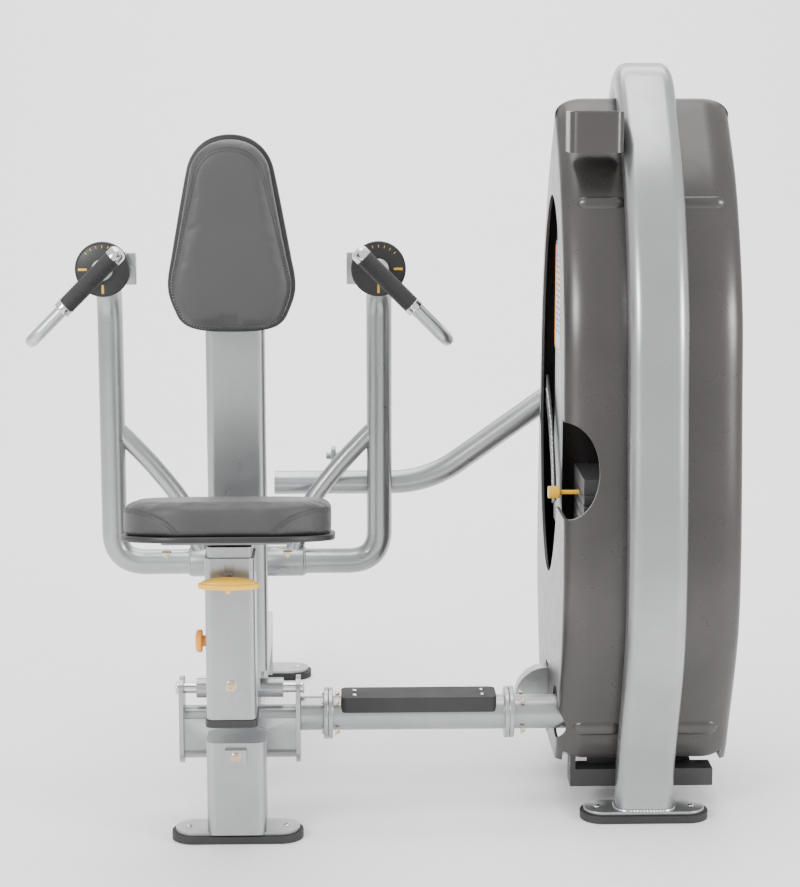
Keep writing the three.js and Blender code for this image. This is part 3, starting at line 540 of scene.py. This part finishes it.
def make_lips(shell):
    """Raised brow and lower lips on the shroud's front, either side of the arch."""
    tree = BVHTree.FromPolygons([v.co for v in shell.data.vertices],
                                [p.vertices for p in shell.data.polygons])

    def on_front(x, z):
        hit = tree.ray_cast(Vector((TOWER_X + x, -2, z)), Y)
        return hit[0]

    for label, z, tall in (("brow", 1.352, 0.016), ("lower", 0.205, 0.018)):
        for side, (start, end) in (("left", (-0.160, -0.055)), ("right", (0.055, 0.160))):
            path = [on_front(start + (end - start) * i / 24, z) for i in range(25)]
            path = [p + Y * 0.001 for p in path if p]
            ridge = sweep(path, lambda t: [(a, b * 0.5) for a, b in circle(tall * lip_taper(t), 20)],
                          side=Z)
            piece(f"{label}_lip_{side}", [ridge], CHARCOAL, "frame")


def lip_taper(t):
    return 0.25 + 0.75 * min(1.0, 6 * min(t, 1 - t)) ** 0.5


FACING_LEFT = Matrix(((0, 0, -1, 0), (-1, 0, 0, 0), (0, 1, 0, 0), (0, 0, 0, 1)))


def make_window_parts():
    """Numbers and ticks on the scale, and a plain printed placard."""
    low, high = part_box("weight_scale")
    face = low.x - 0.0006
    ticks, digits = [], []
    for i in range(20):
        t = i / 19
        y = high.y - 0.035 - (high.y - low.y - 0.075) * (2 * t - t * t)
        z = high.z - 0.035 - (high.z - low.z - 0.075) * t ** 1.25
        if i % 2 == 0:
            ticks.append(block(Vector((face, y + 0.020, z)), (0.0008, 0.012, 0.0022), 0.0002))
        curve = bpy.data.curves.new(f"number_{i}", "FONT")
        curve.body = str(15 * (i + 1))
        curve.size = 0.014
        curve.extrude = 0.0003
        text = bpy.data.objects.new(f"number_{i}", curve)
        text.matrix_world = Matrix.Translation((face, y + 0.010, z - 0.005)) @ FACING_LEFT
        SCENE.collection.objects.link(text)
        digits.append(text)
    piece("scale_ticks", ticks, PAPER, "frame")
    merge_text("scale_numbers", digits, PAPER)
    low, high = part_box("instruction_placard")
    face, size = low.x - 0.0006, high - low
    lines = [block(Vector((face, (low.y + high.y) / 2, high.z - 0.030 - 0.0135 * k)),
                   (0.0006, size.y * (0.62 if k % 4 else 0.40), 0.003), 0.0002) for k in range(14)]
    piece("placard_lines", lines, INK, "frame")
    rim = [Vector((face, (low.y + high.y) / 2 + a, (low.z + high.z) / 2 + b))
           for a, b in rounded(size.y - 0.010, size.z - 0.010, 0.012)]
    piece("placard_border", [sweep([*rim, rim[0]], circle(0.0012, 8))], ORANGE, "frame")


def merge_text(name, texts, material):
    graph = bpy.context.evaluated_depsgraph_get()
    bm = bmesh.new()
    for text in texts:
        mesh = bpy.data.meshes.new_from_object(text.evaluated_get(graph))
        mesh.transform(text.matrix_world)
        bm.from_mesh(mesh)
        bpy.data.objects.remove(text)
    mesh = bpy.data.meshes.new(name)
    bm.to_mesh(mesh)
    bm.free()
    thing = bpy.data.objects.new(name, mesh)
    SCENE.collection.objects.link(thing)
    finish_piece(thing, material, "frame")


def make_plates():
    """Twenty single plates; the top group rides with the lifted stack."""
    for group in range(GROUPS):
        parts = []
        for i in range(GROUP_PLATES):
            z = STACK_LOW + (group * GROUP_PLATES + i + 0.5) * PLATE_PITCH
            parts.append(block(tower(STACK_X, STACK_Y, z - 0.00015), PLATE_SIZE, 0.0022))
            parts.append(block(tower(STACK_X - 0.0955, STACK_Y, z), LABEL_SIZE, 0.0004))
        body = "lifted_stack" if group == GROUPS - 1 else "frame"
        piece(f"plates_{group + 1}", parts, IRON, body, [f"weight_plates_{group + 1}"])


# ---- press arms -----------------------------------------------------------------------------
PRESS_Y, PRESS_Z = 0.162, 0.466
ARM_X, ARM_Y, SHOULDER_Z, ARM_RADIUS = 0.318, 0.172, 1.130, 0.03015
DIAL_X, DIAL_Y, DIAL_Z, DIAL_RADIUS, DIAL_THICK = 0.314, -0.010, 1.187, 0.063, 0.016


def make_arm(name, side):
    def at(x, y, z):
        return station(side * x, y, z)

    path = bent([at(0.091, PRESS_Y, PRESS_Z), at(ARM_X, PRESS_Y, PRESS_Z),
                 at(ARM_X, ARM_Y, SHOULDER_Z), at(DIAL_X, DIAL_Y + 0.050, DIAL_Z)], 0.076, 16)
    brace = smooth_curve([at(ARM_X, 0.170, 0.800), at(0.270, 0.169, 0.752), at(0.214, 0.168, 0.690),
                          at(0.150, 0.166, 0.602), at(0.112, 0.164, 0.492)], 10)
    collar = turned(at(0.046, PRESS_Y, PRESS_Z), X * side, barrel(0.090, 0.0365, 0.003), 40)
    behind = DIAL_Y + DIAL_THICK
    head = turned(at(DIAL_X, behind + 0.005, DIAL_Z), Y, barrel(0.066, 0.044, 0.003), 40)
    tab = block(at(DIAL_X - 0.056, behind + 0.032, DIAL_Z - 0.002), (0.034, 0.016, 0.074), 0.003)
    pin = turned(at(DIAL_X - 0.058, behind + 0.018, DIAL_Z), Y, barrel(0.012, 0.007, 0.002), 20)
    weld = ring_bead(at(0.137, PRESS_Y, PRESS_Z), X, ARM_RADIUS + 0.001)
    piece(f"{name}_arm_tube", [sweep(path, circle(ARM_RADIUS, 40)), sweep(brace, circle(0.021, 28)),
                               collar, head, tab, pin, weld],
          SILVER, "press_arms", [f"{name}_press_arm"])


def ring_bead(at, axis, radius, thick=0.0032):
    """A weld bead round a tube."""
    u = axis.orthogonal().normalized()
    w = axis.cross(u)
    ring = [at + (u * a + w * b) for a, b in circle(radius, 90)]
    return sweep([*ring, ring[0]], lambda t: circle(thick + 0.0006 * math.sin(t * 90 * 2.3), 8))


# ---- handles --------------------------------------------------------------------------------
ROD_RADIUS, GRIP_RADIUS, REACH, OUT = 0.014, 0.0195, 0.096, 0.233
GRIP_FROM, GRIP_TO, RIB_STEPS = -0.062, 0.115, 90


def make_handle(name, side):
    slant = math.cos(math.pi / 4)

    def at(along, forward):
        return station(side * (DIAL_X + along * slant), DIAL_Y - forward, DIAL_Z - along * slant)

    body = f"{name}_handle"
    down = (at(1, 0) - at(0, 0)).normalized()
    near, end = ROD_RADIUS + 0.001, OUT - ROD_RADIUS
    corners = [at(-0.020, near), at(end, near), at(end, REACH), at(GRIP_FROM + 0.002, REACH)]
    path = bent(corners, 0.038, 14)
    boss = turned(at(0, near + 0.0005), Y, [(0, 0.020), (0.003, 0.024), (near, 0.024)], 36)
    piece(f"{name}_rod", [sweep(path, circle(ROD_RADIUS, 28)), boss], ROD, body,
          [f"{name}_handle_bar"])
    cap = [(0, 0.004), (0.001, 0.010), (0.003, 0.0145), (0.006, 0.018), (0.010, GRIP_RADIUS + 0.0005),
           (0.026, GRIP_RADIUS + 0.0005), (0.027, GRIP_RADIUS - 0.001)]
    collar = barrel(0.016, GRIP_RADIUS + 0.0008, 0.0015)
    piece(f"{name}_grip_ends", [turned(at(GRIP_FROM - 0.012, REACH), down, cap, 40),
                                turned(at(GRIP_TO - 0.014, REACH), down, collar, 40)],
          STEEL, body)
    length = GRIP_TO - 0.014 - (GRIP_FROM + 0.014)
    ribs = [(length * i / RIB_STEPS, GRIP_RADIUS + (0.0005 if i % 3 else -0.0005))
            for i in range(RIB_STEPS + 1)]
    piece(f"{name}_rubber_grip", [turned(at(GRIP_FROM + 0.014, REACH), down, ribs, 48)],
          RUBBER, body, [f"{name}_grip"], sharp=60)
    rim = [(0, 0.010), (0.0003, 0.056), (0.0012, 0.058), (0.0008, 0.0605), (0.002, DIAL_RADIUS - 0.0004),
           (0.004, DIAL_RADIUS), (DIAL_THICK - 0.002, DIAL_RADIUS), (DIAL_THICK, DIAL_RADIUS - 0.002)]
    face = station(side * DIAL_X, DIAL_Y, DIAL_Z)
    piece(f"{name}_dial_disc", [turned(face, Y, rim, 72)], PLASTIC, body,
          [f"{name}_dial"])
    marks = [dial_mark(face, angle, 0.020, 0.0055) for angle in (180 if side < 0 else 0, 270)]
    marks += [dial_mark(face, angle, 0.006, 0.0016) for angle in range(45, 136, 15)]
    piece(f"{name}_dial_marks", marks, YELLOW, body)


def dial_mark(face, degrees, length, width):
    angle = math.radians(degrees)
    along = Vector((math.cos(angle), 0, math.sin(angle)))
    turn = Matrix.Rotation(-angle, 4, "Y")
    return block(face + along * (0.055 - length / 2) - Y * 0.0004, (length, 0.0012, width), 0.0003, turn)


# ---- tubes, lever, knob ---------------------------------------------------------------------
def make_upper_tube():
    y, z, radius = 0.240, 0.644, 0.0285
    low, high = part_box("upper_tube")
    start, end = low.x - STATION_X, high.x - STATION_X
    corners = [station(start, y, z), station(0.438, y, z), station(end + 0.041, y, z + 0.310)]
    full = bent(corners, 0.090, 16)
    path = [p for p in full if p.x < high.x - 0.016]
    last, step = path[-1], (full[-1] - full[-2]).normalized()
    path.append(last + step * ((high.x - 0.0145 - last.x) / step.x))
    lug = block(station(0.208, y, z + 0.046), (0.012, 0.044, 0.080), 0.003)
    bolt = turned(station(0.190, y, z + 0.066), X, barrel(0.036, 0.009, 0.002), 24)
    piece("brace_tube", [sweep(path, circle(radius, 36)), lug, bolt], SILVER, "frame",
          ["upper_tube"])


def make_lever():
    y, z = -0.692, 0.632
    outline = [p for curve in (
        bezier((-0.062, 0), (-0.058, -0.034), (0.058, -0.034), (0.062, 0), steps=24),
        bezier((0.062, 0), (0.050, 0.014), (0.030, 0.015), (0.014, 0.015), steps=8),
        bezier((-0.014, 0.015), (-0.030, 0.015), (-0.050, 0.014), (-0.062, 0), steps=8)) for p in curve]
    place = Matrix.Translation(station(0, y - 0.012, z - 0.021))
    blade = plate([tuple(p) for p in outline], 0.012, place, 0.004)
    crown = sweep([station(x, y - 0.014, z - 0.010) for x in (0.056 * i / 12 for i in range(-12, 13))],
                  lambda t: [(a * 0.020 * lever_taper(t), b * 0.012 * lever_taper(t))
                             for a, b in circle(1, 24)], side=Y)
    stem = turned(station(0, y - 0.012, z - 0.008), Y, barrel(0.036, 0.006, 0.002), 24)
    tab = block(station(0, y - 0.030, z - 0.024), (0.009, 0.008, 0.008), 0.002)
    piece("lever_blade", [blade, crown, tab], YELLOW, "seat_lever", ["seat_lever"])
    piece("lever_stem", [stem], PLASTIC, "seat_lever")


def lever_taper(t):
    return 0.15 + 0.85 * math.sin(math.pi * t) ** 0.6


def make_knob():
    low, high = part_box("stop_knob")
    centre = (low + high) / 2
    start = Vector((high.x, centre.y, centre.z))
    profile = [(0, 0.011), (0.008, 0.012), (0.0085, 0.022), (0.011, 0.024), (0.018, 0.0235),
               (0.0215, 0.020), (0.0225, 0.014), (0.0225, 0.004)]
    piece("knob_head", [turned(start, -X, profile, 48)], ORANGE, "stop_knob",
          ["stop_knob"])


# ---- fasteners and small trim ---------------------------------------------------------------
FLANGES_X, FLANGE_PAIR = (-0.117, 0.2943), 0.0203  # each bolted joint's left face, and its width
BOLT_CIRCLE, BOLTS = 0.0475, 4
REAR_FOOT_Y, FOOT_SCREW_X, FOOT_SCREW_Z = 0.790, 0.105, 0.0242
SLEEVE_BOLT_Z, STOP_SCREW_Z = 0.397, 0.196
SEAT_BOLT_X, SEAT_BOLT_Y, SEAT_BOLT_Z = 0.120, -0.735, 0.694
AXLE_CAP_X, AXLE_CAP_Y, AXLE_CAP_Z = 0.140, -0.290, 0.283


def make_fasteners():
    bolts = []
    for x in FLANGES_X:
        for face, axis in ((x, -X), (x + FLANGE_PAIR, X)):
            for k in range(BOLTS):
                angle = math.radians(45 + 360 / BOLTS * k)
                at = Vector((ORIGIN_X + face, ORIGIN_Y + CROSS_Y, CROSS_Z))
                at += Vector((0, math.cos(angle), math.sin(angle))) * BOLT_CIRCLE
                bolts += hex_bolt(at, axis, 0.0065, 0.0055)
    piece("flange_bolts", bolts, GOLD, "frame")
    low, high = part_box("step_pad")
    screws = [button_screw(Vector((x, y, high.z)), Z, 0.0055) for x in (low.x + 0.030, high.x - 0.030)
              for y in (low.y + 0.024, high.y - 0.024)]
    leg = ARCH_HALF[0][0]
    feet = [station(0, POST_Y, 0), station(0, REAR_FOOT_Y, 0),
            tower(0, ARCH_Y + leg, 0), tower(0, ARCH_Y - leg, 0)]
    screws += [button_screw(at + Vector((side * FOOT_SCREW_X, 0, FOOT_SCREW_Z)), Z, 0.007)
               for at in feet for side in (-1, 1)]
    piece("cover_screws", screws, STEEL, "frame")
    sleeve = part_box("seat_sleeve")[0].y
    piece("sleeve_bolt", [button_screw(Vector((STATION_X, sleeve, SLEEVE_BOLT_Z)), -Y, 0.013, 0.003)], GOLD,
          "user_support")
    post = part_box("front_post")[0].y
    piece("post_stop_screw", [button_screw(Vector((STATION_X, post, STOP_SCREW_Z)), -Y, 0.012, 0.003)], GOLD,
          "frame")
    under = [hex_bolt(station(side * SEAT_BOLT_X, SEAT_BOLT_Y, SEAT_BOLT_Z), -Z, 0.008, 0.008)
             for side in (-1, 1)]
    piece("seat_bolts", [part for bolt in under for part in bolt], GOLD, "seat")
    axle = middle("rocker_axle").x
    caps = [button_screw(Vector((axle + side * AXLE_CAP_X, ORIGIN_Y + AXLE_CAP_Y, AXLE_CAP_Z)),
                         X * side, 0.016, 0.004) for side in (-1, 1)]
    piece("axle_caps", caps, STEEL, "frame")


# ---- soft goods -----------------------------------------------------------------------------
SEAT = {"width": 0.434, "depth": 0.400, "thick": 0.066, "corner": 0.138,
        "tilt": -9.6, "y": -0.650, "z": 0.714}
BACK = {"face": -0.480, "thick": 0.056, "bottom": 1.093, "top": 1.505}
BOARD_THICK, BOARD_DOWN = 0.012, 0.0123  # the board behind a cushion, and its distance from the face
VOXEL, PRESSURE, LAST_FRAME, SWELL = 0.006, 4.0, 20, 0.007
STITCH = 0.0032


def pad_outline(steps=14):
    tall = BACK["top"] - BACK["bottom"]
    right = [((0, 0), (0.070, 0), (0.104, 0.004), (0.118, 0.040)),
             ((0.118, 0.040), (0.136, 0.080), (0.139, 0.096), (0.127, 0.150)),
             ((0.127, 0.150), (0.118, 0.200), (0.102, 0.290), (0.092, 0.336)),
             ((0.092, 0.336), (0.084, 0.378), (0.052, tall), (0, tall))]
    half = [tuple(p) for curve in right for p in bezier(*curve, steps=steps)]
    return half + [(0.0, tall)] + [(-x, y) for x, y in half[:0:-1]]


def shrink(outline, by):
    """The outline moved inward by a distance, or by by(y) where it differs with height."""
    count, moved = len(outline), []
    for i, (x, y) in enumerate(outline):
        ax, ay = outline[i - 1]
        bx, by_ = outline[(i + 1) % count]
        dx, dy = bx - ax, by_ - ay
        size = math.hypot(dx, dy) or 1.0
        inward = by(y) if callable(by) else by
        moved.append((x - dy / size * inward, y + dx / size * inward))
    return moved


def crowned_block(outline, thick, place, edge):
    """A cushion's starting shape: upright sides, rounded over at the top rim."""
    rows = [(0.004, 0.0), (0.0, 0.004)]
    for i in range(7):
        angle = math.pi / 2 * i / 6
        rows.append((edge - edge * math.cos(angle), thick - edge + edge * math.sin(angle)))
    verts = [place @ Vector((x, y, z)) for inset, z in rows for x, y in shrink(outline, inset)]
    return verts, ring_faces(len(rows), len(outline))


def inflate(thing, place, cap):
    """Fills the cushion by a cloth simulation, with each point's travel held to cap."""
    remesh = thing.modifiers.new("remesh", "REMESH")
    remesh.mode = "VOXEL"
    remesh.voxel_size = VOXEL
    settle(thing)
    start = points_of(thing)
    cloth = thing.modifiers.new("cloth", "CLOTH")
    cloth.settings.use_pressure = True
    cloth.settings.uniform_pressure_force = PRESSURE
    cloth.settings.effector_weights.gravity = 0
    cloth.settings.quality = 5
    for number in range(1, LAST_FRAME + 1):
        SCENE.frame_set(number)
    settle(thing)
    SCENE.frame_set(1)
    travel = points_of(thing) - start
    size = np.linalg.norm(travel, axis=1, keepdims=True)
    travel *= np.minimum(1.0, cap / np.maximum(size, 1e-9))
    flat = np.array(place.inverted())
    local = (start + travel) @ flat[:3, :3].T + flat[:3, 3]
    local[:, 2] = np.maximum(local[:, 2], 0.0)
    matrix = np.array(place)
    put_points(thing, local @ matrix[:3, :3].T + matrix[:3, 3])
    fine = thing.modifiers.new("fine", "SUBSURF")
    fine.levels = fine.render_levels = 1
    settle(thing)


def points_of(thing):
    flat = np.empty(len(thing.data.vertices) * 3)
    thing.data.vertices.foreach_get("co", flat)
    return flat.reshape(-1, 3)


def put_points(thing, points):
    thing.data.vertices.foreach_set("co", points.ravel())
    thing.data.update()


def project(thing, place, samples, direction):
    """Where local rays along direction, started well outside, meet the cushion."""
    tree = BVHTree.FromPolygons([v.co for v in thing.data.vertices],
                                [p.vertices for p in thing.data.polygons])
    aim = (place.to_3x3() @ direction).normalized()
    hits = [tree.ray_cast(place @ sample - aim * 0.5, aim) for sample in samples]
    return [(hit[0], hit[1]) for hit in hits if hit[0]]


def sew(thing, name, seams, body, depth=0.0016, spread=0.0030):
    """Sinks each seam into the surface and lays two rows of stitches along it."""
    points = points_of(thing)
    normals = np.array([tuple(v.normal) for v in thing.data.vertices])
    for seam in seams:
        line = np.array([tuple(p) for p, _ in seam])
        for start in range(0, len(points), 4000):
            chunk = slice(start, start + 4000)
            gap = np.linalg.norm(points[chunk, None, :] - line[None], axis=2).min(axis=1)
            points[chunk] -= normals[chunk] * (depth * np.exp(-(gap / spread) ** 2))[:, None]
    put_points(thing, points)
    stitches = []
    for seam in seams:
        for (here, normal), (ahead, _) in zip(seam[::2], seam[1::2]):
            along = (ahead - here).normalized()
            across = along.cross(normal).normalized()
            for side in (-1, 1):
                at = here + across * side * 0.0034 + normal * 0.0001
                stitches.append(turned(at, along, [(0, 0.0003), (0.0006, 0.0007), (0.0032, 0.0007),
                                                   (0.0038, 0.0003)], 8))
    piece(f"{name}_stitches", stitches, THREAD, body)


def resample(points, step):
    length = sum((b - a).length for a, b in zip(points, points[1:]))
    return evenly(points, max(8, int(length / step)))


def make_back_pad():
    place = Matrix.Translation(station(0, BACK["face"] + BACK["thick"], BACK["bottom"])) @ Matrix(
        ((1, 0, 0, 0), (0, 0, -1, 0), (0, 1, 0, 0), (0, 0, 0, 1)))
    outline = shrink(pad_outline(), 0.004)
    pad = build("pad_cushion", [crowned_block(outline, BACK["thick"] - 0.004, place, 0.020)])
    inflate(pad, place, SWELL)
    tall = BACK["top"] - BACK["bottom"]
    ring = shrink(pad_outline(), lambda y: 0.013 + 0.016 * max(0.0, y / tall) ** 2)
    loop = resample([Vector((x, y, 0)) for x, y in [*ring, ring[0]]], STITCH)
    seam = project(pad, place, loop, Vector((0, 0, -1)))
    sew(pad, "pad", [seam], "user_support")
    finish_piece(pad, VINYL, "user_support", ["back_pad"], sharp=80)
    board = place.copy()
    board.translation += Vector((0, BOARD_DOWN, 0))
    piece("pad_board", [plate(shrink(pad_outline(), 0.0008), BOARD_THICK, board, 0.003)], PLASTIC,
          "user_support", ["back_board"])


SEAT_SEAM = ((0.212, 0.050), (0.180, 0.049), (0.150, 0.043), (0.125, 0.033), (0.106, 0.020),
             (0.094, 0.007))


def make_seat():
    turn = Matrix.Rotation(math.radians(SEAT["tilt"]), 4, "X")
    place = Matrix.Translation(station(0, SEAT["y"], SEAT["z"])) @ turn
    outline = rounded(SEAT["width"] - 0.008, SEAT["depth"] - 0.008, SEAT["corner"] - 0.004, 14)
    seat = build("seat_pad", [crowned_block(outline, SEAT["thick"] - 0.005, place, 0.016)])
    inflate(seat, place, SWELL)
    seams = []
    for side in (-1, 1):
        low = [Vector((side * x, -0.4, z)) for x, z in SEAT_SEAM]
        seams.append(project(seat, place, resample(low, STITCH), Vector((0, 1, 0))))
    sew(seat, "seat", seams, "seat", depth=0.0020)
    finish_piece(seat, VINYL, "seat", ["seat_cushion"], sharp=80)
    board = place @ Matrix.Translation((0, 0, -BOARD_DOWN))
    skirt = rounded(SEAT["width"] - 0.006, SEAT["depth"] - 0.006, SEAT["corner"] - 0.003, 14)
    piece("seat_skirt", [plate(skirt, BOARD_THICK, board, 0.003)], PLASTIC, "seat",
          ["seat_board"])


# ---- stage ----------------------------------------------------------------------------------
def make_stage():
    pale = surface("pale_floor", (0.93, 0.93, 0.93), (0.91, 0.91, 0.91), 0.6, grain=60, height=0.00002)
    profile = [Vector((0, -20, -0.001)), Vector((0, 4, -0.001))]
    profile += [Vector((0, 4 + 5 * math.sin(a), 4.999 - 5 * math.cos(a))) for a in
                (math.pi / 2 * i / 24 for i in range(1, 25))]
    profile.append(Vector((0, 9, 25)))
    verts = [p + X * x for p in profile for x in (-30, 30)]
    faces = [(2 * i, 2 * i + 1, 2 * i + 3, 2 * i + 2) for i in range(len(profile) - 1)]
    mesh = bpy.data.meshes.new("backdrop")
    mesh.from_pydata([tuple(v) for v in verts], [], faces)
    mesh.shade_smooth()
    backdrop = bpy.data.objects.new("backdrop", mesh)
    SCENE.collection.objects.link(backdrop)
    backdrop.data.materials.append(pale)
    world = bpy.data.worlds.new("studio")
    world.use_nodes = True
    world.node_tree.nodes["Background"].inputs["Color"].default_value = (1, 1, 1, 1)
    world.node_tree.nodes["Background"].inputs["Strength"].default_value = 1.25
    SCENE.world = world
    for name, place, aim, size, power in (
            ("key", (-2.6, -3.4, 2.6), (0, 0, 0.8), 1.2, 130),
            ("fill", (3.2, -2.2, 1.8), (0.2, 0, 0.9), 1.0, 70),
            ("top", (0, -0.4, 5.0), (0, 0, 0.6), 3.0, 120),
            ("back", (0, 4.0, 6.0), (0, 7.0, 1.0), 6.0, 500)):
        data = bpy.data.lights.new(name, "AREA")
        data.size = size
        data.energy = power
        light = bpy.data.objects.new(name, data)
        light.location = place
        light.rotation_euler = (Vector(aim) - Vector(place)).to_track_quat("-Z", "Y").to_euler()
        SCENE.collection.objects.link(light)


# ---- the whole model ------------------------------------------------------------------------
make_camera()
SOFT_EDGES = soft_edges()
dress(SILVER, 0.0015, "front_post", "base_rail", "rear_upright", "pivot_block", "back_upright",
      "rocker_beam", "seat_sleeve", "pad_bracket", "seat_post", "station_stub", "cross_tube",
      "tower_stub", "pulley_guard")
dress(CHARCOAL, 0.0025, "top_tray")
dress(RUBBER, 0.0030, "front_foot_pad", "rear_foot_pad", "tower_front_foot_pad", "tower_rear_foot_pad",
      "step_pad", "stack_bumper")
dress(PLASTIC, 0.0012, "sleeve_end_ring", "upper_pulley", "lower_pulley", "weight_scale",
      "drive_cable", "lift_cable")
dress(STEEL, 0.0010, "rocker_axle", "arm_shaft", "link_rod", "guide_rod_front", "guide_rod_rear",
      "selector_stem")
dress(IRON, 0.0020, "crank_lever", "inner_frame", "head_plate")
dress(YELLOW, 0.0015, "selector_pin")
dress(PANEL, 0.0008, "window_panel")
dress(PAPER, 0.0004, "instruction_placard")
make_arch()
front = make_shrouds()
make_lips(front)
make_window_parts()
make_plates()
for name, side in (("left", -1), ("right", 1)):
    make_arm(name, side)
    make_handle(name, side)
make_upper_tube()
make_lever()
make_knob()
make_fasteners()
make_back_pad()
make_seat()
make_stage()
